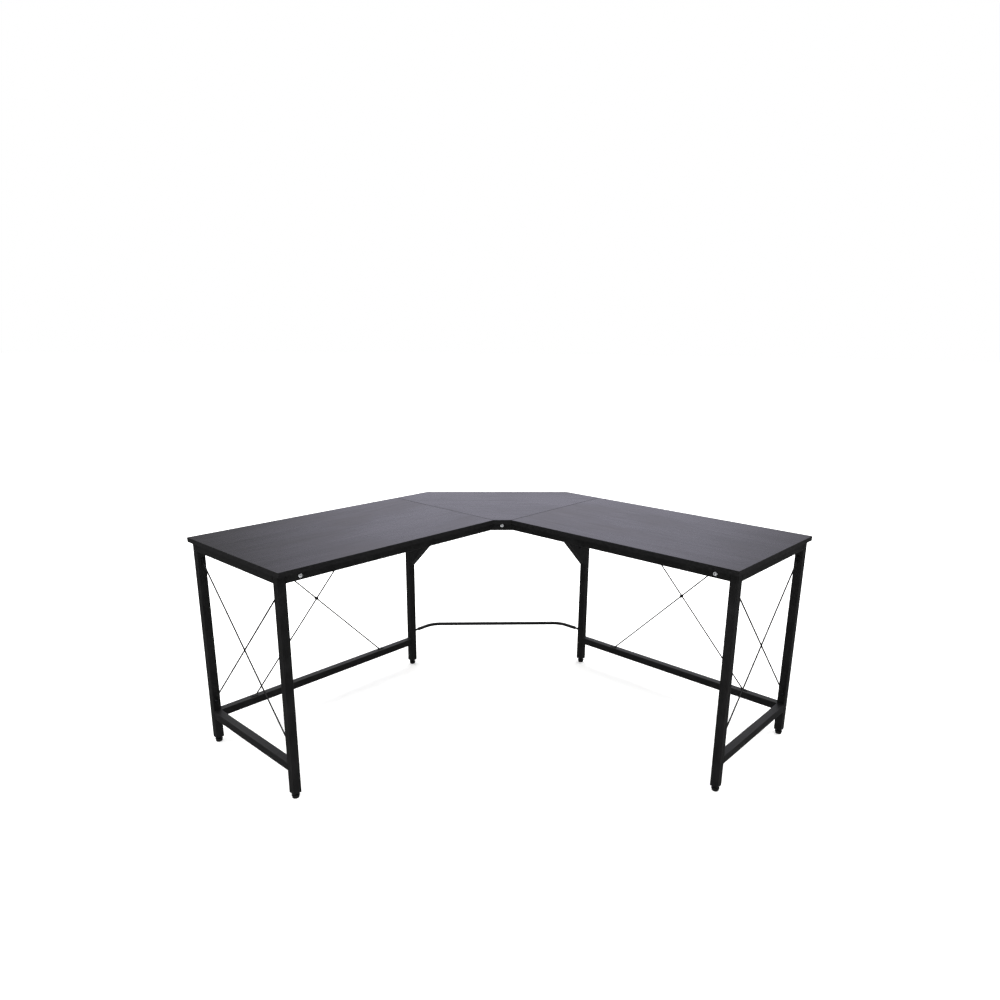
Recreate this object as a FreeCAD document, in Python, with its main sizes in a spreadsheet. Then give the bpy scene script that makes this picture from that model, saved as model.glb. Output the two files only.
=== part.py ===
"""Corner desk: three melamine boards on a square-tube steel frame with levelling glides.

The desk stands in the corner of a room.  Each wing is described by the distance ALONG its rear
edge from the outer corner of the desk and the distance ACROSS it from that rear edge.
The right wing runs along +X, the left wing along -Y, and +Z is up from the floor.
"""
import FreeCAD, Part
import math
import os
import re

import Sketcher

Vector = FreeCAD.Vector
doc = FreeCAD.newDocument("CornerDesk")

# ---------------------------------------------------------------- driving dimensions, mm

DIMENSIONS = {
    "wing_length": 1500, "wing_depth": 560, "desk_height": 755,
    "board_thickness": 16, "band_thickness": 1, "seam_gap": 1.8,
    "seam_offset": 606, "corner_cut": 430,
    "tube_size": 28, "tube_wall": 1.5, "tube_radius": 2.5, "tube_fit": 0.2,
    "rail_inset": 18, "end_inset": 8, "inner_leg_offset": 552,
    "tube_base": 22, "stretcher_base": 95,
    "bar_diameter": 14, "bar_height": 152, "bar_bend_radius": 90,
    "spigot_diameter": 9, "spigot_reach": 24, "spigot_depth": 8, "spigot_hole": 9.2,
    "plate_thickness": 5, "plate_length": 90,
    "gusset_leg": 250, "gusset_sheet": 2, "lug_thickness": 3, "lug_width": 36, "lug_reach": 58,
    "lug_bolt_out": 41, "lug_bolt_down": 162,
    "wire_diameter": 5, "wire_gap": 0.2, "tab_thickness": 2, "tab_width": 12, "tab_overlap": 6,
    "tab_reach": 18, "tab_hole_step": 9, "wire_clearance": 2,
    "end_wire_low": 173, "end_wire_high": 671,
    "rear_wire_low_near": 744, "rear_wire_low_far": 1326,
    "rear_wire_high_near": 777, "rear_wire_high_far": 1311,
    "clip_diameter": 11, "clip_thickness": 12, "clip_fit": 0.1,
    "stub_length": 80, "stub_bolt_step": 47,
    "bolt_hole": 6.4, "bolt_diameter": 6, "bolt_head": 13, "bolt_head_height": 3.5,
    "bolt_length": 12, "corner_bolt_length": 38, "corner_bolt_rise": 5, "hex_socket": 4, "hex_depth": 2,
    "head_rim": 0.33, "head_crown": 0.6,
    "screw_hole": 5.2, "screw_diameter": 5, "screw_head": 9.5, "screw_head_height": 2.6,
    "screw_length": 10,
    "board_screw_hole": 4.8, "board_screw_diameter": 4.6, "board_screw_head": 9,
    "board_screw_head_height": 2.4, "board_screw_bite": 12,
    "first_screw": 690, "screw_step": 340, "cross_screw_near": 104, "cross_screw_far": 354,
    "insert_flange": 3, "insert_depth": 22, "insert_bore": 8.1, "insert_radius": 1,
    "pad_diameter": 26, "pad_top_diameter": 22, "pad_height": 12, "pad_rim": 4,
    "pad_edge": 1, "socket_base": 4, "socket_gap": 0.2,
    "stem_diameter": 8, "stem_top": 58, "collar_flats": 13, "collar_height": 6.7,
}

sheet = doc.addObject("Spreadsheet::Sheet", "Sizes")
for row, (alias, value) in enumerate(DIMENSIONS.items(), start=1):
    sheet.set("A%d" % row, alias.replace("_", " "))
    sheet.set("B%d" % row, str(value))
    sheet.setAlias("B%d" % row, alias)
doc.recompute()


def size(alias):
    """The value of one named cell, in mm."""
    return float(sheet.get(alias))


def bind(expression):
    """An expression in plain cell names, written with the sheet's own name before each."""
    def with_sheet(match):
        return "Sizes." + match.group() if match.group() in DIMENSIONS else match.group()
    return re.sub("[a-z_]+", with_sheet, expression)


# Distances that several pieces share, as expressions of the cells.
TUBE_CENTRE = "( rail_inset + tube_size / 2 )"
FRONT_CENTRE = "( wing_depth - rail_inset - tube_size / 2 )"
END_CENTRE = "( wing_length - end_inset - tube_size / 2 )"
END_FACE = "( wing_length - end_inset - tube_size )"
INNER_CENTRE = "( inner_leg_offset + tube_size / 2 )"
BOARD_UNDERSIDE = "( desk_height - board_thickness )"
RAIL_UNDERSIDE = "( desk_height - board_thickness - tube_size )"
RAIL_CENTRE = "( desk_height - board_thickness - tube_size / 2 )"
STRETCHER_CENTRE = "( stretcher_base + tube_size / 2 )"
STRETCHER_TOP = "( stretcher_base + tube_size )"
MITRE_RUN = "( tube_size / 2 * tan( 22.5 ) )"
FRONT_MITRE = "( seam_offset - ( rail_inset + tube_size / 2 ) * ( sqrt( 2 ) - 1 ) )"
REAR_MITRE = "( corner_cut + ( rail_inset + tube_size / 2 ) * ( sqrt( 2 ) - 1 ) )"


# ---------------------------------------------------------------- placing

SIDES = {"right": -1, "left": 1}
TURN = {
    "right": FreeCAD.Rotation(),
    "left": FreeCAD.Rotation(Vector(0, 0, 1), -90),
}
UPRIGHT = FreeCAD.Rotation()
UP = Vector(0, 0, 1)
WAYS = {
    ("right", "along"): Vector(1, 0, 0), ("right", "across"): Vector(0, -1, 0),
    ("left", "along"): Vector(0, -1, 0), ("left", "across"): Vector(1, 0, 0),
}
AXES = {"X": "YZ_Plane", "Y": "XZ_Plane", "Z": "XY_Plane"}


def facing(x_way, z_way):
    """The rotation that turns local X and local Z to two square directions."""
    return FreeCAD.Rotation(x_way, z_way.cross(x_way), z_way, "ZXY")


def level(z_way):
    """The rotation of a level tube: local Z along it and local Y up."""
    return facing(UP.cross(z_way), z_way)


def along_rotation(side):
    return level(WAYS[side, "along"])


def across_rotation(side):
    return level(WAYS[side, "across"])


DIAGONAL = level(Vector(1, 1, 0).normalize())


def wing_point(side, along, across, height):
    """World coordinates, as expressions, of a point given by its place in a wing."""
    first = "( %s ) - wing_length / 2" % (along if side == "right" else across)
    second = "wing_length / 2 - ( %s )" % (across if side == "right" else along)
    return first, second, height


def place(obj, point, rotation=UPRIGHT):
    """Put a sub-part at a point whose three coordinates are expressions."""
    obj.Placement = FreeCAD.Placement(Vector(), rotation)
    for axis, expression in zip("xyz", point):
        obj.setExpression(".Placement.Base." + axis, bind(expression))


def number(expression):
    """The value in mm of an expression of the cells."""
    return float(sheet.evalExpression(bind(expression)))


# ---------------------------------------------------------------- sketches and features

def new_body(label):
    body = doc.addObject("PartDesign::Body", label)
    body.Label = label
    return body


def new_sketch(body, normal, name, offset=None):
    """A sketch on the body's own origin plane whose normal is X, Y or Z, moved along it."""
    plane = next(f for f in body.Origin.OriginFeatures if f.Role == AXES[normal])
    sketch = body.newObject("Sketcher::SketchObject", name)
    sketch.AttachmentSupport = [(plane, "")]
    sketch.MapMode = "FlatFace"
    if offset:
        sketch.setExpression(".AttachmentOffset.Base.z", bind(offset))
    return sketch


def fix_point(sketch, geometry, end, x, y):
    """Hold one point of a sketch at two expressions, measured from the sketch's origin."""
    for kind, expression in (("DistanceX", x), ("DistanceY", y)):
        index = sketch.addConstraint(
            Sketcher.Constraint(kind, -1, 1, geometry, end, number(expression)))
        sketch.setExpression("Constraints[%d]" % index, bind(expression))


def draw_polygon(sketch, points):
    """A closed outline through corners given as pairs of expressions."""
    values = [Vector(number(x), number(y), 0) for x, y in points]
    count = len(points)
    first = sketch.GeometryCount
    for i in range(count):
        sketch.addGeometry(Part.LineSegment(values[i], values[(i + 1) % count]), False)
    for i in range(count):
        following = first + (i + 1) % count
        sketch.addConstraint(Sketcher.Constraint("Coincident", first + i, 2, following, 1))
        fix_point(sketch, first + i, 1, *points[i])


def draw_square(sketch, side, radius):
    """A square with rounded corners, centred on the sketch's origin."""
    half = number(side) / 2
    round_off = number(radius)
    flat = half - round_off
    first = sketch.GeometryCount
    for i in range(4):
        turn = FreeCAD.Rotation(Vector(0, 0, 1), 90 * i)
        start = turn.multVec(Vector(-flat, -half, 0))
        end = turn.multVec(Vector(flat, -half, 0))
        centre = turn.multVec(Vector(flat, -flat, 0))
        sketch.addGeometry(Part.LineSegment(start, end), False)
        circle = Part.Circle(centre, Vector(0, 0, 1), round_off)
        angle = math.radians(90 * i)
        sketch.addGeometry(Part.ArcOfCircle(circle, angle - math.pi / 2, angle), False)
    for i in range(4):
        line, arc, following = first + 2 * i, first + 2 * i + 1, first + (2 * i + 2) % 8
        sketch.addConstraint(Sketcher.Constraint("Tangent", line, 2, arc, 1))
        sketch.addConstraint(Sketcher.Constraint("Tangent", arc, 2, following, 1))
        if i:
            sketch.addConstraint(Sketcher.Constraint("Equal", first + 1, arc))
    for line, kind in ((0, "Horizontal"), (2, "Vertical"), (4, "Horizontal"), (6, "Vertical")):
        sketch.addConstraint(Sketcher.Constraint(kind, first + line))
    index = sketch.addConstraint(Sketcher.Constraint("Radius", first + 1, round_off))
    sketch.setExpression("Constraints[%d]" % index, bind(radius))
    for kind, line, sign in (("DistanceY", 0, -1), ("DistanceX", 2, 1),
                             ("DistanceY", 4, 1), ("DistanceX", 6, -1)):
        index = sketch.addConstraint(
            Sketcher.Constraint(kind, -1, 1, first + line, 1, sign * half))
        sketch.setExpression("Constraints[%d]" % index, bind("%d * ( %s ) / 2" % (sign, side)))


def draw_circle(sketch, x, y, diameter):
    radius = number(diameter) / 2
    centre = Vector(number(x), number(y), 0)
    circle = sketch.addGeometry(Part.Circle(centre, Vector(0, 0, 1), radius), False)
    fix_point(sketch, circle, 3, x, y)
    index = sketch.addConstraint(Sketcher.Constraint("Diameter", circle, 2 * radius))
    sketch.setExpression("Constraints[%d]" % index, bind(diameter))


def pad(body, sketch, length, midplane=False):
    feature = body.newObject("PartDesign::Pad", sketch.Name + "Pad")
    feature.Profile = sketch
    feature.Midplane = midplane
    feature.setExpression("Length", bind(length))
    sketch.Visibility = False
    return feature


def pocket(body, sketch, length=None, reverse=False):
    """Cut a sketch to one side by a length, or right through to both sides."""
    feature = body.newObject("PartDesign::Pocket", sketch.Name + "Pocket")
    feature.Profile = sketch
    if length:
        feature.Reversed = reverse
        feature.setExpression("Length", bind(length))
    else:
        feature.Type = "ThroughAll"
        feature.Midplane = True
    return feature


def revolve(body, label, outline):
    """Turn an outline of (radius, height) corners about the body's own Z axis."""
    sketch = new_sketch(body, "Y", label + "Outline")
    draw_polygon(sketch, outline)
    feature = body.newObject("PartDesign::Revolution", label + "Turned")
    feature.Profile = sketch
    feature.ReferenceAxis = (sketch, ["V_Axis"])
    feature.Angle = 360
    return feature


def drill(body, label, axis, spots, diameter, wall=0):
    """Round holes across a tube at (x, y) spots; wall -1 or 1 drills only that side's wall."""
    sketch = new_sketch(body, axis, label)
    for x, y in spots:
        draw_circle(sketch, x, y, diameter)
    if wall:
        pocket(body, sketch, "tube_size", reverse=(wall > 0) == (axis == "X"))
    else:
        pocket(body, sketch)


# ---------------------------------------------------------------- square tubes

nodes = []


def keep(obj):
    """Note a finished sub-part, which becomes one file."""
    nodes.append(obj)
    return obj


def tube(label, length, start="0", mitres=()):
    """Square tube along its own Z, from start; each mitre is (height, end, slope sign)."""
    body = new_body(label)
    section = new_sketch(body, "Z", label + "Section", start)
    draw_square(section, "tube_size", "tube_radius")
    draw_square(section, "tube_size - 2 * tube_wall", "tube_radius - tube_wall")
    pad(body, section, length)
    for i, (height, end, slope) in enumerate(mitres):
        cut = new_sketch(body, "Y", "%sMitre%d" % (label, i))
        high = "%s + %d * tube_size * tan( 22.5 )" % (height, slope)
        low = "%s - %d * tube_size * tan( 22.5 )" % (height, slope)
        beyond = "%s + %d * tube_size" % (height, end)
        draw_polygon(cut, [("- tube_size", low), ("tube_size", high),
                           ("tube_size", beyond), ("- tube_size", beyond)])
        pocket(body, cut)
    return keep(body)


def outer_leg(side, name, across):
    """Corner post of a wing's end frame, from the glide's plug to the underside of the board."""
    leg = tube("leg_%s_%s" % (name, side), BOARD_UNDERSIDE + " - tube_base")
    place(leg, wing_point(side, END_CENTRE, across, "tube_base"), TURN[side])
    return leg


def inner_leg(side):
    """Post on the rear line beside the corner, under the rear rail."""
    leg = tube("leg_inner_" + side, RAIL_UNDERSIDE + " - tube_base")
    place(leg, wing_point(side, INNER_CENTRE, TUBE_CENTRE, "tube_base"), TURN[side])
    return leg


def end_tube(name, side, height):
    """Level tube between the two posts of an end frame."""
    rail = tube("%s_end_%s" % (name, side), FRONT_CENTRE + " - rail_inset - tube_size * 3 / 2")
    start = "rail_inset + tube_size"
    place(rail, wing_point(side, END_CENTRE, start, height), across_rotation(side))
    return rail


def long_rail(name, side, mitre, across):
    """Top rail of a wing, mitred at the corner and butted against the end frame's post."""
    slope = SIDES[side]
    rail = tube("rail_%s_%s" % (name, side), END_FACE + " - " + mitre + " + " + MITRE_RUN,
                "- " + MITRE_RUN, [("0", -1, slope)])
    place(rail, wing_point(side, mitre, across, RAIL_CENTRE), along_rotation(side))
    return rail


def corner_rail(name, mitre, across):
    """Diagonal rail between the two wings' rails, mitred at both ends."""
    half = "( abs( %s - %s ) / sqrt( 2 ) )" % (mitre, across)
    rail = tube("rail_%s_corner" % name, "2 * ( %s + %s )" % (half, MITRE_RUN),
                "- ( %s + %s )" % (half, MITRE_RUN), [(half, 1, 1), ("- " + half, -1, -1)])
    middle = "( %s + %s ) / 2" % (mitre, across)
    place(rail, wing_point("right", middle, middle, RAIL_CENTRE), DIAGONAL)
    return rail


def cross_rail(side):
    """Rail from the rear rail to the plate behind the front corner, its end cut at 45 degrees."""
    label = "rail_cross_" + side
    start = "( rail_inset + tube_size )"
    reach = "( %s + %s - sqrt( 2 ) * ( tube_size / 2 + plate_thickness ) - %s - %s )" % (
        FRONT_MITRE, FRONT_CENTRE, INNER_CENTRE, start)
    rail = tube(label, reach + " + tube_size / 2")
    cut = new_sketch(rail, "Y", label + "Slant")
    slope = SIDES[side]
    draw_polygon(cut, [("- tube_size", "%s + %d * tube_size" % (reach, -slope)),
                       ("tube_size", "%s + %d * tube_size" % (reach, slope)),
                       ("tube_size", reach + " + 2 * tube_size"),
                       ("- tube_size", reach + " + 2 * tube_size")])
    pocket(rail, cut)
    place(rail, wing_point(side, INNER_CENTRE, start, RAIL_CENTRE), across_rotation(side))
    return rail


def rear_stretcher(side):
    """Low tube on the rear line between the inner post and the end frame."""
    start = "( inner_leg_offset + tube_size )"
    rail = tube("stretcher_rear_" + side, END_FACE + " - " + start)
    place(rail, wing_point(side, start, TUBE_CENTRE, STRETCHER_CENTRE), along_rotation(side))
    return rail


legs, rails, stretchers = {}, {}, {}
for side in SIDES:
    legs["rear", side] = outer_leg(side, "rear", TUBE_CENTRE)
    legs["front", side] = outer_leg(side, "front", FRONT_CENTRE)
    legs["inner", side] = inner_leg(side)
    rails["end", side] = end_tube("rail", side, RAIL_CENTRE)
    rails["front", side] = long_rail("front", side, FRONT_MITRE, FRONT_CENTRE)
    rails["rear", side] = long_rail("rear", side, REAR_MITRE, TUBE_CENTRE)
    rails["cross", side] = cross_rail(side)
    stretchers["end", side] = end_tube("stretcher", side, STRETCHER_CENTRE)
    stretchers["rear", side] = rear_stretcher(side)
rails["front", "corner"] = corner_rail("front", FRONT_MITRE, FRONT_CENTRE)
rails["rear", "corner"] = corner_rail("rear", REAR_MITRE, TUBE_CENTRE)


# ---------------------------------------------------------------- boards and edge bands

def wing_outline(side, inset):
    """Rectangle of a wing board, moved in from its nominal edge."""
    near = "seam_offset + seam_gap / 2 + %s" % inset
    far = "wing_length - %s" % inset
    rear = "%d * ( %s )" % (SIDES[side], inset)
    front = "%d * ( wing_depth - %s )" % (SIDES[side], inset)
    return [(near, rear), (far, rear), (far, front), (near, front)]


def corner_outline(inset):
    """Six-sided corner board: square to both seams, with the front and rear corners cut off."""
    seam = "( seam_offset - seam_gap / 2 - %s )" % inset
    cut = "( corner_cut + %s * ( sqrt( 2 ) - 1 ) )" % inset
    front = "( wing_depth - %s * ( sqrt( 2 ) - 1 ) )" % inset
    ring = [(cut, inset), (seam, inset), (seam, front), (front, seam), (inset, seam), (inset, cut)]
    return [(x, "- ( %s )" % y) for x, y in ring]


def board_pair(name, outline, rotation, pilot_holes):
    """A melamine board and the thin edge band glued round it."""
    board = keep(new_body("top_" + name))
    core = new_sketch(board, "Z", "top_%s_outline" % name)
    draw_polygon(core, outline("band_thickness"))
    pad(board, core, "board_thickness")
    holes = new_sketch(board, "Z", "top_%s_pilots" % name)
    for x, y in pilot_holes:
        draw_circle(holes, x, y, "board_screw_hole")
    pocket(board, holes, "board_screw_bite", reverse=True)
    band = keep(new_body("edge_band_" + name))
    ring = new_sketch(band, "Z", "edge_band_%s_ring" % name)
    draw_polygon(ring, outline("0"))
    draw_polygon(ring, outline("band_thickness"))
    pad(band, ring, "board_thickness")
    for piece in (board, band):
        place(piece, wing_point("right", "0", "0", BOARD_UNDERSIDE), rotation)


SCREW_STOPS = ["( first_screw + %d * screw_step )" % i for i in range(3)]
CROSS_STOPS = ["cross_screw_near", "cross_screw_far"]
CROSS_START = "( rail_inset + tube_size )"
CORNER_MIDDLE = "( ( %s + %s ) / 2 )" % (REAR_MITRE, TUBE_CENTRE)


def board_screw_spots(side):
    """Where the screws rise into a wing board: (along, across)."""
    return [(stop, line) for line in (TUBE_CENTRE, FRONT_CENTRE) for stop in SCREW_STOPS]


def cross_screw_spots():
    """Where the screws rise into the corner board through one cross rail: (along, across)."""
    return [(INNER_CENTRE, "( %s + %s )" % (CROSS_START, stop)) for stop in CROSS_STOPS]


for side, sign in SIDES.items():
    pilots = [(a, "%d * %s" % (sign, c)) for a, c in board_screw_spots(side)]
    board_pair(side, lambda inset: wing_outline(side, inset), TURN[side], pilots)
corner_pilots = [(a, "- " + c) for a, c in cross_screw_spots()]
corner_pilots += [(c, "- " + a) for a, c in cross_screw_spots()]
corner_pilots += [(CORNER_MIDDLE, "- " + CORNER_MIDDLE)]
board_pair("corner", corner_outline, UPRIGHT, corner_pilots)

for side in SIDES:
    for name, mitre in (("front", FRONT_MITRE), ("rear", REAR_MITRE)):
        rail_spots = [("0", "%s - %s" % (stop, mitre)) for stop in SCREW_STOPS]
        drill(rails[name, side], "board_holes_%s_%s" % (name, side), "Y", rail_spots,
              "board_screw_hole")
    cross_spots = [("0", stop) for stop in CROSS_STOPS]
    drill(rails["cross", side], "board_holes_cross_" + side, "Y", cross_spots, "board_screw_hole")
drill(rails["rear", "corner"], "board_hole_corner", "Y", [("0", "0")], "board_screw_hole")


# ---------------------------------------------------------------- corner pieces

def corner_bar():
    """Bent round footrest bar between the inner posts, parallel to the cut rear corner."""
    body = keep(new_body("corner_bar"))
    end = "( inner_leg_offset - spigot_reach )"
    run = "( bar_bend_radius * tan( 22.5 ) )"
    straight = "( %s + %s )" % (REAR_MITRE, run)
    slant = "( %s - %s / sqrt( 2 ) )" % (REAR_MITRE, run)
    slip = "( %s + %s / sqrt( 2 ) )" % (TUBE_CENTRE, run)
    route = [(end, TUBE_CENTRE), (straight, TUBE_CENTRE), (slant, slip),
             (slip, slant), (TUBE_CENTRE, straight), (TUBE_CENTRE, end)]
    corners = [Vector(number(x), - number(y), 0) for x, y in route]
    radius = size("bar_bend_radius")
    centres = [corners[1] - Vector(0, radius, 0), corners[4] + Vector(radius, 0, 0)]
    path = new_sketch(body, "Z", "bar_path")
    for i in (0, 2, 4):
        path.addGeometry(Part.LineSegment(corners[i], corners[i + 1]), False)
    for centre, start in zip(centres, (math.pi / 2, math.pi * 3 / 4)):
        circle = Part.Circle(centre, UP, radius)
        path.addGeometry(Part.ArcOfCircle(circle, start, start + math.pi / 4), False)
    for line in range(3):
        for point in range(2):
            x, y = route[2 * line + point]
            fix_point(path, line, point + 1, x, "- " + y)
    for line, arc in ((0, 3), (1, 4)):
        path.addConstraint(Sketcher.Constraint("Coincident", line, 2, arc, 1))
        path.addConstraint(Sketcher.Constraint("Coincident", arc, 2, line + 1, 1))
        index = path.addConstraint(Sketcher.Constraint("Radius", arc, radius))
        path.setExpression("Constraints[%d]" % index, bind("bar_bend_radius"))
    ring = new_sketch(body, "X", "bar_ring", end)
    draw_circle(ring, "- " + TUBE_CENTRE, "0", "bar_diameter")
    pipe = body.newObject("PartDesign::AdditivePipe", "bar_pipe")
    pipe.Profile = ring
    pipe.Spine = (path, ["Edge1", "Edge2", "Edge3", "Edge4", "Edge5"])
    reach = "spigot_reach + spigot_depth"
    for axis, x, y in (("X", "- " + TUBE_CENTRE, "0"), ("Y", TUBE_CENTRE, "0")):
        spigot = new_sketch(body, axis, "bar_spigot_" + axis, end)
        draw_circle(spigot, x, y, "spigot_diameter")
        pad(body, spigot, reach)
    place(body, wing_point("right", "0", "0", "bar_height"))


def corner_plate():
    """Plate welded across the ends of both cross rails, behind the short front rail."""
    body = keep(new_body("corner_plate"))
    face = new_sketch(body, "Z", "corner_plate_face")
    near, far = "tube_size / 2", "tube_size / 2 + plate_thickness"
    low, high = "- tube_size / 2", "tube_size / 2"
    draw_polygon(face, [(near, low), (far, low), (far, high), (near, high)])
    pad(body, face, "plate_length", midplane=True)
    drill(body, "corner_plate_hole", "X", [("corner_bolt_rise", "0")], "bolt_hole")
    middle = "( %s + %s ) / 2" % (FRONT_MITRE, FRONT_CENTRE)
    place(body, wing_point("right", middle, middle, RAIL_CENTRE), DIAGONAL)


def gusset(side):
    """Folded sheet brace under a cross rail: a web on the wing's side and a sloping flange."""
    sign = - SIDES[side]
    body = keep(new_body("gusset_" + side))
    web_start = "tube_size / 2" if sign > 0 else "gusset_sheet - tube_size / 2"
    web = new_sketch(body, "Y", "gusset_web_" + side, "- ( %s )" % web_start)
    draw_polygon(web, [("0", "0"), ("gusset_leg", "0"), ("0", "- gusset_leg")])
    pad(body, web, "gusset_sheet")
    flange = new_sketch(body, "Y", "gusset_flange_" + side)
    inner = "gusset_leg - gusset_sheet * sqrt( 2 )"
    draw_polygon(flange, [(inner, "0"), ("gusset_leg", "0"),
                          ("0", "- gusset_leg"), ("0", "- ( %s )" % inner)])
    pad(body, flange, "tube_size", midplane=True)
    spots = [("lug_bolt_out", "- lug_bolt_down"), ("lug_bolt_down", "- lug_bolt_out")]
    drill(body, "gusset_holes_" + side, "Y", spots, "bolt_hole")
    across_way = WAYS[side, "across"]
    place(body, wing_point(side, INNER_CENTRE, CROSS_START, RAIL_UNDERSIDE),
          facing(across_way, UP))


corner_bar()
corner_plate()
for side in SIDES:
    gusset(side)
    drill(legs["inner", side], "bar_hole_" + side, "X", [("0", "bar_height - tube_base")],
          "spigot_hole", wall=-1)
drill(rails["front", "corner"], "corner_bolt_hole", "X", [("corner_bolt_rise", "0")], "bolt_hole")


# ---------------------------------------------------------------- crossed wires

def wire(label, rise, run, point, rotation):
    """Straight rod between two facing surfaces, with a flat screw tab at each end.

    Local X crosses the gap between the surfaces, and local Z runs along them.
    """
    body = keep(new_body(label))
    rod = new_sketch(body, "Z", label + "_rod")
    rod.AttachmentOffset = FreeCAD.Placement(Vector(), FreeCAD.Rotation(Vector(0, 1, 0), 1))
    rod.setExpression(".AttachmentOffset.Base.x", bind("wire_clearance"))
    rod.setExpression(".AttachmentOffset.Base.z", bind("wire_clearance * %s / %s" % (run, rise)))
    rod.setExpression(".AttachmentOffset.Rotation.Angle", bind("atan( %s / %s )" % (rise, run)))
    draw_circle(rod, "0", "0", "wire_diameter")
    pad(body, rod, "hypot( %s ; %s ) * ( 1 - 2 * wire_clearance / %s )" % (rise, run, rise))
    ends = [("0", "0", -1), (rise + " - tab_thickness", run, 1)]
    for i, (height, foot, way) in enumerate(ends):
        tab = new_sketch(body, "X", "%s_tab%d" % (label, i), height)
        near = "%s - %d * tab_overlap" % (foot, way)
        far = "%s + %d * tab_reach" % (foot, way)
        draw_polygon(tab, [("- tab_width / 2", near), ("tab_width / 2", near),
                           ("tab_width / 2", far), ("- tab_width / 2", far)])
        draw_circle(tab, "0", "%s + %d * tab_hole_step" % (foot, way), "screw_hole")
        pad(body, tab, "tab_thickness")
    place(body, point, rotation)


def clip(side, point, rotation):
    """Round clip over a crossing, with a tunnel for each rod."""
    body = keep(new_body("wire_clip_" + side))
    disc = new_sketch(body, "Y", "clip_disc_" + side)
    draw_circle(disc, "0", "0", "clip_diameter")
    pad(body, disc, "clip_thickness", midplane=True)
    for name, way in (("a", 1), ("b", -1)):
        tunnel = new_sketch(body, "Z", "clip_tunnel_%s_%s" % (side, name))
        tunnel.AttachmentOffset = FreeCAD.Placement(
            Vector(), FreeCAD.Rotation(Vector(0, 1, 0), way))
        angle = "%d * atan( %s / %s )" % (way, REAR_RISE, REAR_RUNS[name])
        tunnel.setExpression(".AttachmentOffset.Rotation.Angle", bind(angle))
        draw_circle(tunnel, "0", "%d * ( wire_diameter + wire_gap ) / 2" % way,
                    "wire_diameter + 2 * clip_fit")
        pocket(body, tunnel)
    place(body, point, rotation)


HALF_PITCH = "( wire_diameter + wire_gap ) / 2"
END_RISE = "( %s - 3 / 2 * tube_size - rail_inset )" % FRONT_CENTRE
END_RUN = "( end_wire_high - end_wire_low )"
REAR_RISE = "( %s - %s )" % (RAIL_UNDERSIDE, STRETCHER_TOP)
REAR_RUNS = {"a": "( rear_wire_high_far - rear_wire_low_near )",
             "b": "( rear_wire_low_far - rear_wire_high_near )"}
MEETING = "( ( rear_wire_low_far - rear_wire_low_near ) / ( %s + %s ) )" % (
    REAR_RUNS["a"], REAR_RUNS["b"])
CROSSING = ("( rear_wire_low_near + %s * %s )" % (REAR_RUNS["a"], MEETING),
            "( %s + %s * %s )" % (STRETCHER_TOP, REAR_RISE, MEETING))

screw_places = []


def end_wires(side):
    """Two rods crossed between the posts of an end frame."""
    across_way = WAYS[side, "across"]
    for name, height, way, foot in (("a", "end_wire_low", 1, -1), ("b", "end_wire_high", -1, 1)):
        along = "( %s + %d * %s )" % (END_CENTRE, way, HALF_PITCH)
        point = wing_point(side, along, CROSS_START, height)
        wire("wire_end_%s_%s" % (side, name), END_RISE, END_RUN, point,
             facing(across_way, UP * way))
        other = "end_wire_high" if foot < 0 else "end_wire_low"
        low = "( %s + %d * tab_hole_step )" % (height, foot)
        high = "( %s + %d * tab_hole_step )" % (other, -foot)
        screw_places.append((side, along, CROSS_START, low, across_way, "tab_thickness"))
        far = "( %s + %s )" % (CROSS_START, END_RISE)
        screw_places.append((side, along, far, high, across_way * -1, "tab_thickness"))
        offset = "%d * %s" % (way, HALF_PITCH)
        wall = SIDES[side]
        drill(legs["rear", side], "wire_hole_rear_%s_%s" % (side, name), "Y",
              [(offset, low + " - tube_base")], "screw_hole", wall)
        drill(legs["front", side], "wire_hole_front_%s_%s" % (side, name), "Y",
              [(offset, high + " - tube_base")], "screw_hole", -wall)


def rear_wires(side):
    """Two rods crossed between the low rear tube and the rear rail, with a clip."""
    along_way = WAYS[side, "along"]
    sign = - SIDES[side]
    for name, way, low, high in (("a", 1, "rear_wire_low_near", "rear_wire_high_far"),
                                 ("b", -1, "rear_wire_low_far", "rear_wire_high_near")):
        across = "( %s + %d * %s )" % (TUBE_CENTRE, sign * way, HALF_PITCH)
        wire("wire_rear_%s_%s" % (side, name), REAR_RISE, REAR_RUNS[name],
             wing_point(side, low, across, STRETCHER_TOP), facing(UP, along_way * way))
        low_hole = "( %s - %d * tab_hole_step )" % (low, way)
        high_hole = "( %s + %d * tab_hole_step )" % (high, way)
        screw_places.append((side, low_hole, across, STRETCHER_TOP, UP, "tab_thickness"))
        screw_places.append((side, high_hole, across, RAIL_UNDERSIDE, UP * -1, "tab_thickness"))
        offset = "%d * %s" % (-way, HALF_PITCH)
        drill(stretchers["rear", side], "wire_hole_low_%s_%s" % (side, name), "Y",
              [(offset, low_hole + " - inner_leg_offset - tube_size")], "screw_hole", 1)
        drill(rails["rear", side], "wire_hole_high_%s_%s" % (side, name), "Y",
              [(offset, high_hole + " - " + REAR_MITRE)], "screw_hole", -1)
    clip(side, wing_point(side, CROSSING[0], TUBE_CENTRE, CROSSING[1]), facing(UP, along_way))


for side in SIDES:
    end_wires(side)
    rear_wires(side)


# ---------------------------------------------------------------- fasteners and plugs

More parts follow.
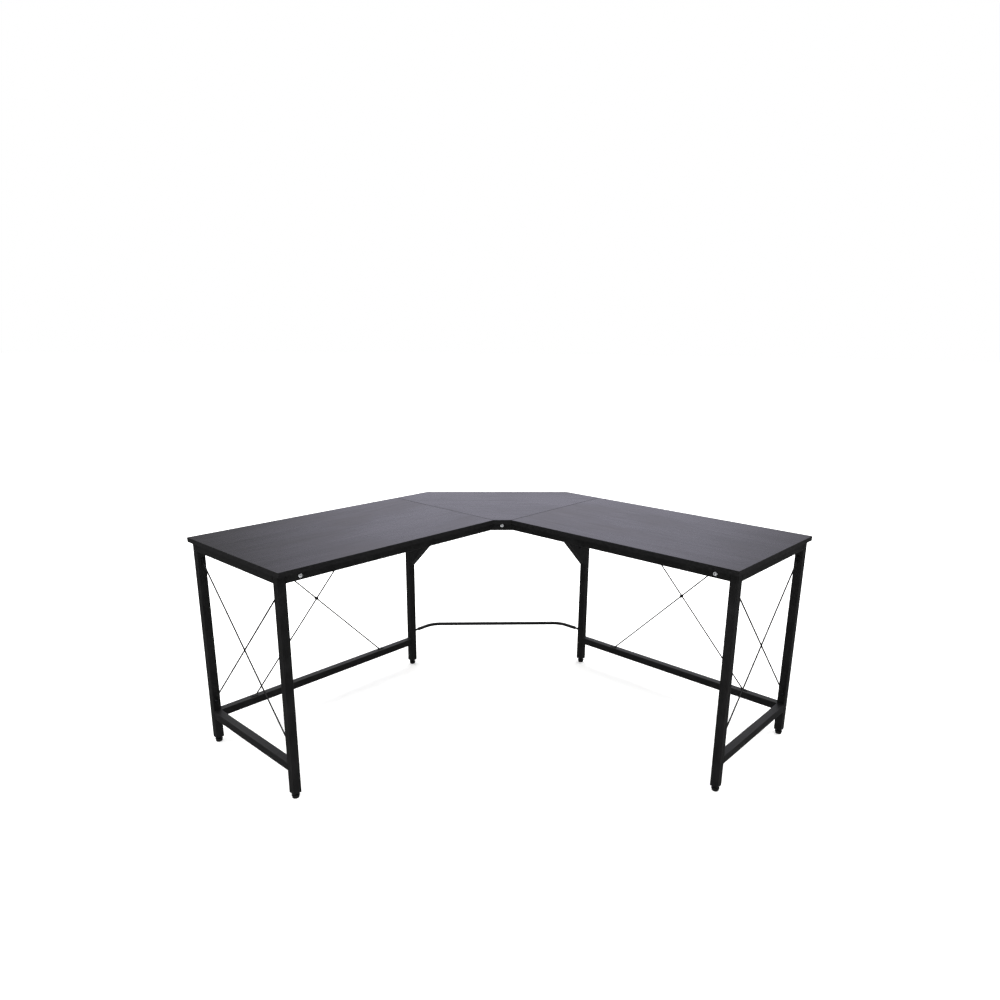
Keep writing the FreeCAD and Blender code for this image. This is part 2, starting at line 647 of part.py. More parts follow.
def turned_fastener(label, head, head_height, shank, length):
    """Pan-headed fastener with its head on the plane Z = 0 and its shank below."""
    body = new_body(label)
    rim = "( %s ) / 2" % head
    revolve(body, label, [("0", "- ( %s )" % length), ("%s / 2" % shank, "- ( %s )" % length),
                          ("%s / 2" % shank, "0"), (rim, "0"), (rim, head_height + " * head_rim"),
                          (rim + " * head_crown", head_height), ("0", head_height)])
    socket = new_sketch(body, "Z", label + "Socket", head_height)
    draw_polygon(socket, hexagon("hex_socket"))
    pocket(body, socket, "hex_depth")
    return body


def hexagon(flats):
    """Six corners of a hexagon given across its flats."""
    tip = "%s / sqrt( 3 )" % flats
    half = "%s / 2" % flats
    return [(tip, "0"), (tip + " / 2", half), ("- %s / 2" % tip, half),
            ("- " + tip, "0"), ("- %s / 2" % tip, "- " + half), (tip + " / 2", "- " + half)]


def point_vector(side, along, across, height):
    return Vector(*[number(part) for part in wing_point(side, along, across, height)])


def outward(normal):
    """The rotation that turns local Z to a surface's outward normal."""
    return FreeCAD.Rotation(UP, normal)


def group(label, master, placements):
    """Identical pieces kept as one node of separate solids."""
    shapes = []
    for placement in placements:
        shape = master.Shape.copy()
        shape.Placement = placement
        shapes.append(shape)
    obj = doc.addObject("Part::Feature", label)
    obj.Label = label
    obj.Shape = Part.makeCompound(shapes)
    return keep(obj)


def plug_master():
    """Leg plug: a square body that fits in the tube, a flange under it and the glide's bore."""
    body = new_body("leg_plug_pattern")
    core = new_sketch(body, "Z", "plug_core")
    draw_square(core, "tube_size - 2 * tube_wall - 2 * tube_fit", "insert_radius")
    pad(body, core, "insert_depth")
    flange = new_sketch(body, "Z", "plug_flange", "- insert_flange")
    draw_square(flange, "tube_size", "tube_radius")
    pad(body, flange, "insert_flange")
    drill(body, "plug_bore", "Z", [("0", "0")], "insert_bore")
    return body


def stub_master():
    """Short square tube that slides into the end of a rail, with a hole for its bolt."""
    body = new_body("rail_stub_pattern")
    section = new_sketch(body, "Z", "stub_section")
    draw_square(section, "tube_size - 2 * tube_wall - 2 * tube_fit", "insert_radius + tube_wall")
    draw_square(section, "tube_size - 4 * tube_wall - 2 * tube_fit", "insert_radius")
    pad(body, section, "stub_length")
    drill(body, "stub_hole", "X", [("0", "stub_bolt_step")], "bolt_hole", wall=1)
    return body


def lug_master():
    """Flat lug welded by its edge at local X = 0, with one bolt hole."""
    body = new_body("gusset_lug_pattern")
    face = new_sketch(body, "Y", "lug_face")
    half = "lug_width / 2"
    draw_polygon(face, [("0", "- " + half), ("lug_reach", "- " + half),
                        ("lug_reach", half), ("0", half)])
    pad(body, face, "lug_thickness", midplane=True)
    drill(body, "lug_hole", "Y", [("lug_bolt_out", "0")], "bolt_hole")
    return body


bolt = turned_fastener("rail_bolt_pattern", "bolt_head", "bolt_head_height",
                       "bolt_diameter", "bolt_length")
long_bolt = turned_fastener("corner_bolt", "bolt_head", "bolt_head_height",
                            "bolt_diameter", "corner_bolt_length")
screw = turned_fastener("frame_screw_pattern", "screw_head", "screw_head_height",
                        "screw_diameter", "screw_length")
board_screw = turned_fastener("board_screw_pattern", "board_screw_head",
                              "board_screw_head_height", "board_screw_diameter",
                              "tube_size + board_screw_bite")
plug = plug_master()
stub = stub_master()
lug = lug_master()

STUB_STOP = "( %s - stub_bolt_step )" % END_FACE
stub_lines = [("front", FRONT_CENTRE, RAIL_CENTRE, 1, "rails"),
              ("rear", TUBE_CENTRE, RAIL_CENTRE, -1, "rails"),
              ("rear", TUBE_CENTRE, STRETCHER_CENTRE, -1, "stretchers")]
holders = {"rails": rails, "stretchers": stretchers}
starts = {("rails", "front"): FRONT_MITRE, ("rails", "rear"): REAR_MITRE,
          ("stretchers", "rear"): "( inner_leg_offset + tube_size )"}
for side, sign in SIDES.items():
    for name, _, _, outer, kind in stub_lines:
        drill(holders[kind][name, side], "bolt_hole_%s_%s_%s" % (kind, name, side), "X",
              [("0", "%s - %s" % (STUB_STOP, starts[kind, name]))], "bolt_hole",
              wall=sign * outer)
doc.recompute()


def stub_and_bolt_places():
    """Placements of the stubs inside the tubes' ends and of the bolts through their walls."""
    stubs, bolts = [], []
    for side in SIDES:
        inward = WAYS[side, "along"] * -1
        for _, across, height, outer, _ in stub_lines:
            out = WAYS[side, "across"] * outer
            base = point_vector(side, END_FACE, across, height)
            stubs.append(FreeCAD.Placement(base, facing(out, inward)))
            face = "( %s + %d * tube_size / 2 )" % (across, outer)
            head = point_vector(side, STUB_STOP, face, height)
            bolts.append(FreeCAD.Placement(head, outward(out)))
    return stubs, bolts


def lug_and_bolt_places():
    """Placements of the gussets' lugs and of the bolts through their webs."""
    lugs, bolts = [], []
    for side in SIDES:
        across_way, along_way = WAYS[side, "across"], WAYS[side, "along"]
        inset = "( %s + tube_size / 2 - gusset_sheet - lug_thickness / 2 )" % INNER_CENTRE
        web = "( %s + tube_size / 2 )" % INNER_CENTRE
        low = "( %s - lug_bolt_down )" % RAIL_UNDERSIDE
        out = "( %s + lug_bolt_down )" % CROSS_START
        near = "( %s + lug_bolt_out )" % CROSS_START
        below = "( %s - lug_bolt_out )" % RAIL_UNDERSIDE
        lugs.append(FreeCAD.Placement(point_vector(side, inset, CROSS_START, low),
                                      facing(across_way, UP)))
        lugs.append(FreeCAD.Placement(point_vector(side, inset, out, RAIL_UNDERSIDE),
                                      facing(UP * -1, across_way)))
        for across, height in ((near, low), (out, below)):
            bolts.append(FreeCAD.Placement(point_vector(side, web, across, height),
                                           outward(along_way)))
    return lugs, bolts


def board_screw_places():
    """Placements of the long screws, heads under the rails."""
    spots = [(side, a, c) for side in SIDES for a, c in board_screw_spots(side)]
    spots += [(side, a, c) for side in SIDES for a, c in cross_screw_spots()]
    spots.append(("right", CORNER_MIDDLE, CORNER_MIDDLE))
    return [FreeCAD.Placement(point_vector(side, a, c, RAIL_UNDERSIDE), outward(UP * -1))
            for side, a, c in spots]


def frame_screw_places():
    """Placements of the short screws through the wires' tabs."""
    found = []
    for side, along, across, height, normal, thickness in screw_places:
        base = point_vector(side, along, across, height) + normal * number(thickness)
        found.append(FreeCAD.Placement(base, outward(normal)))
    return found


stub_places, bolt_places = stub_and_bolt_places()
lug_places, gusset_bolt_places = lug_and_bolt_places()
group("rail_stubs", stub, stub_places)
group("rail_bolts", bolt, bolt_places)
group("gusset_lugs", lug, lug_places)
group("gusset_bolts", bolt, gusset_bolt_places)
group("board_screws", board_screw, board_screw_places())
group("frame_screws", screw, frame_screw_places())
keep(long_bolt)
front_face = "( ( %s + %s ) / 2 + tube_size / 2 / sqrt( 2 ) )" % (FRONT_MITRE, FRONT_CENTRE)
place(long_bolt, wing_point("right", front_face, front_face, RAIL_CENTRE + " + corner_bolt_rise"),
      outward(Vector(1, -1, 0)))


# ---------------------------------------------------------------- levelling glides

def glide_pad(name):
    """Nylon foot with a blind socket for the end of the screw."""
    body = keep(new_body("glide_pad_" + name))
    rim, crown, socket = "pad_diameter / 2", "pad_top_diameter / 2", "insert_bore / 2"
    revolve(body, "pad_" + name, [("0", "0"), (rim + " - pad_edge", "0"), (rim, "pad_edge"),
                                  (rim, "pad_rim"),
                                  (crown, "pad_height"), (socket, "pad_height"),
                                  (socket, "socket_base"), ("0", "socket_base")])
    return body


def glide_stem(name):
    """Levelling screw with a hexagonal collar that rests on the foot."""
    body = keep(new_body("glide_stem_" + name))
    low = "( socket_base + socket_gap )"
    shank = new_sketch(body, "Z", "stem_shank_" + name, low)
    draw_circle(shank, "0", "0", "stem_diameter")
    pad(body, shank, "stem_top - " + low)
    collar = new_sketch(body, "Z", "stem_collar_" + name, "pad_height")
    draw_polygon(collar, hexagon("collar_flats"))
    pad(body, collar, "collar_height")
    return body


LEG_LINES = {"rear": (END_CENTRE, TUBE_CENTRE), "front": (END_CENTRE, FRONT_CENTRE),
             "inner": (INNER_CENTRE, TUBE_CENTRE)}
plug_places = []
for side in SIDES:
    for name, (along, across) in LEG_LINES.items():
        for piece in (glide_pad("%s_%s" % (name, side)), glide_stem("%s_%s" % (name, side))):
            place(piece, wing_point(side, along, across, "0"), TURN[side])
        plug_places.append(FreeCAD.Placement(point_vector(side, along, across, "tube_base"),
                                             TURN[side]))
group("leg_plugs", plug, plug_places)


# ---------------------------------------------------------------- writing the files

def check_model():
    """Stop if any object failed or any sub-part isn't one or more sound solids."""
    for obj in doc.Objects:
        if "Invalid" in obj.State or "Error" in obj.State:
            raise RuntimeError("%s failed: %s" % (obj.Label, obj.State))
    for obj in nodes:
        if obj.Shape.isNull() or not obj.Shape.isValid() or not obj.Shape.Solids:
            raise RuntimeError("%s has no sound shape" % obj.Label)


doc.recompute()
check_model()
os.makedirs("parts", exist_ok=True)
for obj in nodes:
    obj.Shape.exportStep("parts/%s.step" % obj.Label)
    box = obj.Shape.BoundBox
    print("%-24s %d solid(s) %10.0f mm3  X %.1f..%.1f  Y %.1f..%.1f  Z %.1f..%.1f" % (
        obj.Label, len(obj.Shape.Solids), obj.Shape.Volume,
        box.XMin, box.XMax, box.YMin, box.YMax, box.ZMin, box.ZMax))
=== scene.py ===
"""Corner desk: three melamine boards on a black steel tube frame with levelling feet.

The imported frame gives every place. This script finishes its surfaces, makes the bolts, screws,
weld beads and feet in detail, and sets the studio and the camera.
Lengths are in metres unless a name or comment says millimetres.
"""

import math

import bmesh
import bpy
from mathutils import Matrix, Vector


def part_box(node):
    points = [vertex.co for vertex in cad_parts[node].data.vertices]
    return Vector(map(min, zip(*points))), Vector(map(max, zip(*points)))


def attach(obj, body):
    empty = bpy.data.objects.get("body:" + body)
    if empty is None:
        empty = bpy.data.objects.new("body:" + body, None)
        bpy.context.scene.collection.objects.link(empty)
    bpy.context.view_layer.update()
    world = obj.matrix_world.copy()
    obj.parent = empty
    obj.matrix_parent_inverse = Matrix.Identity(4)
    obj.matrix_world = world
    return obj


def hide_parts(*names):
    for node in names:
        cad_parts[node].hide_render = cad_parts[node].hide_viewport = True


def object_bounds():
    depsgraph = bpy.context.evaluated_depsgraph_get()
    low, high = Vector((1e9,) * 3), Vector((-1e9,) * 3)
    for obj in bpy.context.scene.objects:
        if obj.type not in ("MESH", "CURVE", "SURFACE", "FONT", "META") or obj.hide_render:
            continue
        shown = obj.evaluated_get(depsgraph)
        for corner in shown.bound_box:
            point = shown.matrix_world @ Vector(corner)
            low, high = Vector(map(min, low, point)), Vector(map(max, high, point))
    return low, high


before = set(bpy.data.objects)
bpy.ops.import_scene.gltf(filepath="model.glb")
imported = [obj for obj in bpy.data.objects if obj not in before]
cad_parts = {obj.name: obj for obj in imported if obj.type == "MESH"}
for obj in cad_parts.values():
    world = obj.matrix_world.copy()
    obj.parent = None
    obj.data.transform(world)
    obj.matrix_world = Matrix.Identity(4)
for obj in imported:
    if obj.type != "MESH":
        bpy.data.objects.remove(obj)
CAD_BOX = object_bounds()

MM = 0.001
SIDES = ("left", "right")
LEG_NAMES = ("rear", "front", "inner")
X, Y, Z = range(3)
UP = Vector((0, 0, 1))
# The right wing's middle line is at this Y. The left wing is its mirror image in the line
# Y = -X, so its middle line is at X = -WING_MIDDLE.
WING_MIDDLE = 0.47
HALF_HEIGHT = CAD_BOX[1][Z] / 2


# ---------------------------------------------------------------- nodes and colours

def linear(hex_colour):
    """Linear colour of an sRGB hex value."""
    channels = [int(hex_colour[i:i + 2], 16) / 255 for i in (1, 3, 5)]
    return [c / 12.92 if c <= 0.04045 else ((c + 0.055) / 1.055) ** 2.4 for c in channels] + [1]


def add_node(tree, kind, settings=None, values=None, links=None):
    """New node with its settings, its sockets' values and its incoming links."""
    node = tree.nodes.new(kind)
    for name, value in (settings or {}).items():
        setattr(node, name, value)
    for name, value in (values or {}).items():
        node.inputs[name].default_value = value
    for name, source in (links or {}).items():
        tree.links.new(source, node.inputs[name])
    return node


def new_material(name):
    """Empty material and its node tree."""
    material = bpy.data.materials.new(name)
    material.use_nodes = True
    material.node_tree.nodes.clear()
    return material, material.node_tree


def across(size_mm):
    """Noise scale whose patches are about this many millimetres across."""
    return 1 / (size_mm * MM)


def pattern(tree, size_mm, stretch=(1, 1, 1), turn=0, detail=2, roughness=0.5, seed=0):
    """Noise in the piece's own coordinates, turned about Z, then stretched by these lengths."""
    place = add_node(tree, "ShaderNodeTexCoord").outputs["Object"]
    turned = add_node(tree, "ShaderNodeMapping", {"vector_type": "POINT"},
                      {"Rotation": (0, 0, turn), "Location": (seed, seed * 0.7, seed * 0.3)},
                      {"Vector": place})
    drawn = add_node(tree, "ShaderNodeMapping", {"vector_type": "POINT"},
                     {"Scale": [1 / s for s in stretch]}, {"Vector": turned.outputs[0]})
    return add_node(tree, "ShaderNodeTexNoise", {},
                    {"Scale": across(size_mm), "Detail": detail, "Roughness": roughness},
                    {"Vector": drawn.outputs[0]}).outputs["Fac"]


def spread(tree, source, low, high, start=0.3, end=0.7):
    """The pattern's values from start to end, spread from low to high."""
    return add_node(tree, "ShaderNodeMapRange", {"interpolation_type": "SMOOTHSTEP"},
                    {"From Min": start, "From Max": end, "To Min": low, "To Max": high},
                    {"Value": source}).outputs[0]


def blend_colours(tree, factor, dark, light):
    """Colour between two sRGB hex values, or between a socket and one, by a pattern."""
    node = add_node(tree, "ShaderNodeMix", {"data_type": "RGBA"}, {}, {0: factor})
    for index, colour in ((6, dark), (7, light)):
        if isinstance(colour, str):
            node.inputs[index].default_value = linear(colour)
        else:
            tree.links.new(colour, node.inputs[index])
    return node.outputs[2]


def add_patterns(tree, first, second, share):
    """Sum of one pattern and a share of another."""
    return add_node(tree, "ShaderNodeMath", {"operation": "MULTIPLY_ADD"}, {1: share},
                    {0: second, 2: first}).outputs[0]


def finish_surface(tree, colour, roughness, height, depth_mm, **fixed):
    """Shader with a colour, roughness and height pattern, and fixed values by socket name."""
    bump = add_node(tree, "ShaderNodeBump", {}, {"Distance": depth_mm * MM, "Strength": 1.0},
                    {"Height": height})
    values = {name.replace("_", " "): value for name, value in fixed.items()}
    shader = add_node(tree, "ShaderNodeBsdfPrincipled", {}, values,
                      {"Base Color": colour, "Roughness": roughness, "Normal": bump.outputs[0]})
    add_node(tree, "ShaderNodeOutputMaterial", {}, {}, {"Surface": shader.outputs[0]})


# ---------------------------------------------------------------- materials

def melamine_board(name, turn, seed):
    """Black wood-grain melamine: printed paper under resin, pressed against a grained plate.

    The eye sees a charcoal board with a faint violet cast, long low-contrast grain, shallow
    pores that break up the sheen, and cloudy patches where it has been handled.
    """
    material, tree = new_material(name)
    # Each size is across the grain; the stretch is how many times longer the mark is along it.
    figure = pattern(tree, 34, (12, 1, 1), turn, detail=3, seed=seed)
    streaks = pattern(tree, 7, (26, 1, 1), turn, detail=4, roughness=0.65, seed=seed + 3)
    # Real pores are 0.3 mm wide; these are 1.6 mm so that they show at arm's length.
    pores = pattern(tree, 1.6, (16, 1, 1), turn, detail=1, seed=seed + 5)
    clouds = pattern(tree, 210, (1.8, 1, 1), turn, detail=3, seed=seed + 7)
    grain = add_patterns(tree, figure, streaks, 0.8)
    base = blend_colours(tree, spread(tree, grain, 0, 1, 0.62, 1.18), "#141316", "#242227")
    smudged = blend_colours(tree, spread(tree, clouds, 0, 0.3, 0.5, 0.75), base, "#2b2521")
    sheen = add_patterns(tree, spread(tree, streaks, 0.26, 0.34),
                         spread(tree, clouds, -1, 1, 0.35, 0.75), 0.035)
    relief = add_patterns(tree, spread(tree, pores, 0, 1, 0.36, 0.52), streaks, 0.6)
    finish_surface(tree, smudged, sheen, relief, 0.035, Specular_IOR_Level=0.5, IOR=1.5)
    return material


def edge_strip():
    """Black ABS edge strip: extruded, lightly embossed, trimmed flush with the board."""
    material, tree = new_material("edge_strip_black_abs")
    emboss = pattern(tree, 2.5, (5, 5, 1), detail=2)
    colour = blend_colours(tree, spread(tree, emboss, 0, 1), "#0b0b0c", "#161517")
    finish_surface(tree, colour, spread(tree, emboss, 0.40, 0.52), emboss, 0.05,
                   Specular_IOR_Level=0.35)
    return material


def powder_coat(name, peel_mm, dark, light):
    """Black powder coat on steel: sprayed and baked, with a fine orange-peel surface.

    The eye sees a soft broken sheen along the tubes' rounded edges and a little dust and rub.
    """
    material, tree = new_material(name)
    peel = pattern(tree, peel_mm, detail=2)
    # Real grit in the coat is under 0.2 mm; 0.5 mm is the finest that a close view shows.
    grit = pattern(tree, 0.5, detail=1, seed=2)
    rub = pattern(tree, 60, detail=4, roughness=0.6, seed=4)
    colour = blend_colours(tree, spread(tree, add_patterns(tree, rub, grit, 0.3), 0, 1, 0.4, 0.9),
                           dark, light)
    gloss = add_patterns(tree, spread(tree, rub, 0.42, 0.54), peel, 0.06)
    relief = add_patterns(tree, peel, grit, 0.35)
    finish_surface(tree, colour, gloss, relief, 0.07, Specular_IOR_Level=0.35)
    return material


def zinc_coat(name, dark, light, roughness, metallic):
    """Zinc on steel: barrel coated and passivated, with soft tumbling marks.

    A flake coat is part metal and part pale binder, so it looks whiter and duller than plate.
    """
    material, tree = new_material(name)
    marks = pattern(tree, 1.2, detail=4, roughness=0.7)
    patches = pattern(tree, 6, detail=2, seed=3)
    colour = blend_colours(tree, spread(tree, patches, 0, 1), dark, light)
    gloss = spread(tree, marks, roughness - 0.07, roughness + 0.09)
    finish_surface(tree, colour, gloss, marks, 0.02, Metallic=metallic)
    return material


def moulded_plastic(name, dark, light, roughness):
    """Injection-moulded black plastic with a spark-eroded matt surface."""
    material, tree = new_material(name)
    spark = pattern(tree, 0.7, detail=3)
    flow = pattern(tree, 18, detail=2, seed=6)
    colour = blend_colours(tree, spread(tree, flow, 0, 1), dark, light)
    finish_surface(tree, colour, spread(tree, spark, roughness - 0.05, roughness + 0.07),
                   spark, 0.03, Specular_IOR_Level=0.4)
    return material


# The grain of each wing runs along it, and that of the corner board along its cut-off edge.
BOARD = {
    "right": melamine_board("melamine_right_wing", 0, 1.3),
    "left": melamine_board("melamine_left_wing", math.radians(-90), 4.1),
    "corner": melamine_board("melamine_corner", math.radians(-45), 7.7),
}
EDGE = edge_strip()
COAT = powder_coat("powder_coat_black_tube", 1.8, "#0a0a0b", "#151516")
ROD_COAT = powder_coat("powder_coat_black_rod", 1.2, "#050505", "#0b0b0c")
ZINC = zinc_coat("zinc_flake_coat_pale", "#d4d7da", "#e9ebed", 0.36, 0.4)
BLACK_ZINC = zinc_coat("zinc_plate_black", "#303136", "#47484e", 0.38, 1.0)
PLUG_PLASTIC = moulded_plastic("moulded_plug_polyethylene", "#0c0c0c", "#151515", 0.52)
PAD_NYLON = moulded_plastic("moulded_foot_nylon", "#0a0a0a", "#131313", 0.46)


def coat(node, material):
    """Gives a frame node its finish."""
    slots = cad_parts[node].data.materials
    if not slots:
        slots.append(material)
    for index in range(len(slots)):
        slots[index] = material


def coat_frame():
    """Finishes the boards and their edges, the plastic parts, the steel and the rods."""
    for place, material in BOARD.items():
        coat("top_" + place, material)
        coat("edge_band_" + place, EDGE)
    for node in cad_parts:
        if node.startswith("wire_clip_") or node == "leg_plugs":
            coat(node, PLUG_PLASTIC)
        elif node.startswith(("leg_", "rail_", "stretcher_", "corner_", "gusset")):
            coat(node, COAT)
        elif node.startswith("wire_"):
            coat(node, ROD_COAT)


coat_frame()


# ---------------------------------------------------------------- making pieces

# Points closer than this are one point.
SAME = 0.002 * MM


def finish_piece(bm, name, body, material, replaced=(), smooth_angle=35):
    """Mesh piece from a bmesh: faces outward, smooth but for its sharp edges, on its body."""
    bmesh.ops.remove_doubles(bm, verts=bm.verts[:], dist=SAME)
    bmesh.ops.recalc_face_normals(bm, faces=bm.faces[:])
    mesh = bpy.data.meshes.new(name)
    bm.to_mesh(mesh)
    bm.free()
    mesh.materials.append(material)
    piece = bpy.data.objects.new(name, mesh)
    bpy.context.scene.collection.objects.link(piece)
    mesh.shade_smooth()
    mesh.set_sharp_from_angle(angle=math.radians(smooth_angle))
    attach(piece, body)
    if replaced:
        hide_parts(*replaced)


def facing(point, direction):
    """Placement whose local Z looks along a direction."""
    return Matrix.Translation(point) @ Vector(direction).to_track_quat("Z", "Y").to_matrix().to_4x4()


def turn_profile(bm, outline_mm, steps):
    """Solid of revolution about local Z from an outline of (radius, height) in millimetres."""
    points = [bm.verts.new((r * MM, 0, z * MM)) for r, z in outline_mm]
    edges = [bm.edges.new(pair) for pair in zip(points, points[1:])]
    bmesh.ops.spin(bm, geom=points + edges, cent=(0, 0, 0), axis=UP, angle=math.tau,
                   steps=steps, use_merge=True, use_duplicate=False)
    bmesh.ops.remove_doubles(bm, verts=bm.verts[:], dist=SAME)


def solid_places(node):
    """Boxes of a frame node's separate solids, as (lowest, highest) corners."""
    bm = bmesh.new()
    bm.from_mesh(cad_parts[node].data)
    bmesh.ops.remove_doubles(bm, verts=bm.verts[:], dist=0.005 * MM)
    left, boxes = set(bm.verts), []
    while left:
        group, waiting = set(), [left.pop()]
        while waiting:
            vert = waiting.pop()
            group.add(vert)
            for edge in vert.link_edges:
                other = edge.other_vert(vert)
                if other in left:
                    left.discard(other)
                    waiting.append(other)
        corners = [[v.co[i] for v in group] for i in range(3)]
        boxes.append((Vector(map(min, corners)), Vector(map(max, corners))))
    bm.free()
    return sorted(boxes, key=lambda box: tuple(box[0]))


def add_shape(bm, make, place):
    """Makes a shape in its own bmesh with Z along its axis, and adds it to bm at a placement."""
    part = bmesh.new()
    make(part)
    bmesh.ops.remove_doubles(part, verts=part.verts[:], dist=SAME)
    bmesh.ops.transform(part, matrix=place, verts=part.verts[:])
    mesh = bpy.data.meshes.new("shape")
    part.to_mesh(mesh)
    part.free()
    bm.from_mesh(mesh)
    bpy.data.meshes.remove(mesh)


def boundary(bm):
    """Edges with one face."""
    return [e for e in bm.edges if e.is_boundary]


def socket(bm, radius_mm, height_mm, sides, flats_mm, depth_mm):
    """Closes a round opening with a flat ring and a pocket of some number of sides."""
    near = 0.01 * MM
    rim = [e for e in boundary(bm) if abs(e.verts[0].co.z - height_mm * MM) < near
           and abs(e.verts[0].co.xy.length - radius_mm * MM) < near]
    mouth = bmesh.ops.create_circle(bm, segments=sides, cap_ends=False,
                                    radius=flats_mm * MM / 2 / math.cos(math.pi / sides),
                                    matrix=Matrix.Translation((0, 0, height_mm * MM)))
    edges = list({e for v in mouth["verts"] for e in v.link_edges})
    bmesh.ops.subdivide_edges(bm, edges=edges, cuts=len(rim) // sides - 1)
    loop = [e for e in bm.edges if e.is_wire]
    bmesh.ops.bridge_loops(bm, edges=rim + loop)
    wall = bmesh.ops.extrude_edge_only(bm, edges=loop)["geom"]
    low = [v for v in wall if isinstance(v, bmesh.types.BMVert)]
    bmesh.ops.translate(bm, verts=low, vec=(0, 0, -depth_mm * MM))
    floor = [e for e in wall if isinstance(e, bmesh.types.BMEdge) and e.is_boundary]
    bmesh.ops.edgeloop_fill(bm, edges=floor)


def button_bolt(head_mm, height_mm, shank_mm, length_mm, flats_mm, steps=24):
    """Low domed head with a hexagon socket, on a plain shank; the head's seat is at Z = 0."""
    def make(bm):
        r, h, s = head_mm / 2, height_mm, shank_mm / 2
        opening, chamfer = flats_mm * 0.66, 0.6
        shank = [(0, -length_mm), (s - chamfer, -length_mm), (s, -length_mm + chamfer), (s, 0)]
        rim = [(r - 0.3, 0), (r, 0.25), (r, 0.7)]
        dome = [(r * 0.93, h * 0.52), (r * 0.79, h * 0.78), (r * 0.62, h * 0.94), (r * 0.5, h)]
        outline = shank + rim + dome + [(opening, h)]
        turn_profile(bm, outline, steps)
        socket(bm, opening, h, 6, flats_mm, h * 0.6)
    return make


def pan_screw(head_mm, height_mm, shank_mm, length_mm, steps=24):
    """Pan head with a cross recess, on a tapered point; the head's seat is at Z = 0."""
    def make(bm):
        r, h, s = head_mm / 2, height_mm, shank_mm / 2
        opening = r * 0.52
        point = [(0, -length_mm), (s * 0.35, -length_mm + s * 0.9), (s, -length_mm + s * 2.4)]
        rim = [(s, 0), (r - 0.2, 0), (r, 0.3)]
        crown = [(r * 0.98, h * 0.45), (r * 0.86, h * 0.78), (r * 0.66, h * 0.95), (opening, h)]
        turn_profile(bm, point + rim + crown, steps)
        socket(bm, opening, h, 4, r * 0.5, h * 0.55)
    return make


def fastener_set(node, name, make, material, height_mm, heading):
    """One piece with a detailed fastener in place of each solid of a frame node."""
    bm = bmesh.new()
    for low, high in solid_places(node):
        direction = Vector(heading(low, high))
        # The seat is the head's height below the solid's outermost face.
        half_length = abs((high - low).dot(direction)) / 2
        seat = (low + high) / 2 + direction * (half_length - height_mm * MM)
        add_shape(bm, make, facing(seat, direction))
    finish_piece(bm, name, "desk_frame", material, [node], 30)


# ---------------------------------------------------------------- bolts and screws

def on_left(low, high):
    """Whether a box is on the left wing's side of the mirror line."""
    return low.x + high.x + low.y + high.y < 0


def away_from_wing(low, high):
    """A rail bolt's head is on the outer face of its tube, away from the wing's middle line."""
    x, y = (low + high).xy / 2
    if on_left(low, high):
        return (-1, 0, 0) if x < -WING_MIDDLE else (1, 0, 0)
    return (0, 1, 0) if y > WING_MIDDLE else (0, -1, 0)


def away_from_corner(low, high):
    """A gusset bolt's head is on the web's wing side."""
    return (0, -1, 0) if on_left(low, high) else (1, 0, 0)


def off_the_tab(low, high):
    """A wire tab's screw has its head on the open side of the tab."""
    size, centre = high - low, (low + high) / 2
    axis = max(range(3), key=lambda i: size[i])
    if axis == Z:
        return (0, 0, 1) if centre.z < HALF_HEIGHT else (0, 0, -1)
    if axis == Y:
        return (0, 1, 0) if centre.y < WING_MIDDLE else (0, -1, 0)
    return (1, 0, 0) if centre.x < -WING_MIDDLE else (-1, 0, 0)


def downwards(low, high):
    """A board screw's head is under its rail."""
    return (0, 0, -1)


# Millimetres. With these sizes each fastener fills its solid in the frame.
BOLT_HEAD, BOLT_CROWN, BOLT_SHANK, BOLT_KEY = 13, 3.5, 6, 4
SHORT_SHANK, CORNER_SHANK = 12, 38
BOARD_SCREW_CROWN, TAB_SCREW_CROWN = 2.4, 2.6
short_bolt = button_bolt(BOLT_HEAD, BOLT_CROWN, BOLT_SHANK, SHORT_SHANK, BOLT_KEY)
board_screw = pan_screw(head_mm=9, height_mm=BOARD_SCREW_CROWN, shank_mm=4.6, length_mm=40)
tab_screw = pan_screw(head_mm=9.5, height_mm=TAB_SCREW_CROWN, shank_mm=5, length_mm=10)

fastener_set("rail_bolts", "rail_bolt_set", short_bolt, ZINC, BOLT_CROWN,
             away_from_wing)
fastener_set("gusset_bolts", "gusset_bolt_set", short_bolt, BLACK_ZINC,
             BOLT_CROWN, away_from_corner)
fastener_set("board_screws", "board_screw_set", board_screw, BLACK_ZINC,
             BOARD_SCREW_CROWN, downwards)
fastener_set("frame_screws", "frame_screw_set", tab_screw, BLACK_ZINC,
             TAB_SCREW_CROWN, off_the_tab)


def corner_bolt():
    """Long bolt through the short front rail, with its head towards the sitter."""
    low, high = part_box("corner_bolt")
    # The shank's far end touches the box's sides with its rim, so the seat is worked out from
    # the shank's length and radius along the slanting line.
    reach = (CORNER_SHANK + BOLT_SHANK / 2) * MM / math.sqrt(2)
    seat = Vector((low.x + reach, high.y - reach, (low.z + high.z) / 2))
    bm = bmesh.new()
    add_shape(bm, button_bolt(BOLT_HEAD, BOLT_CROWN, BOLT_SHANK, CORNER_SHANK, BOLT_KEY),
              facing(seat, (1, -1, 0)))
    finish_piece(bm, "corner_bolt_long", "desk_frame", ZINC, ["corner_bolt"], 30)


corner_bolt()


# ---------------------------------------------------------------- levelling feet

# Millimetres: the thread's diameter and pitch, the collar's lowest and highest points and the
# distance across its flats, and the gap between the thread's tip and the foot's socket.
THREAD, PITCH = 8, 1.25
COLLAR_LOW, COLLAR_HIGH, COLLAR_FLATS = 12, 18.7, 13
TIP_GAP = 0.4


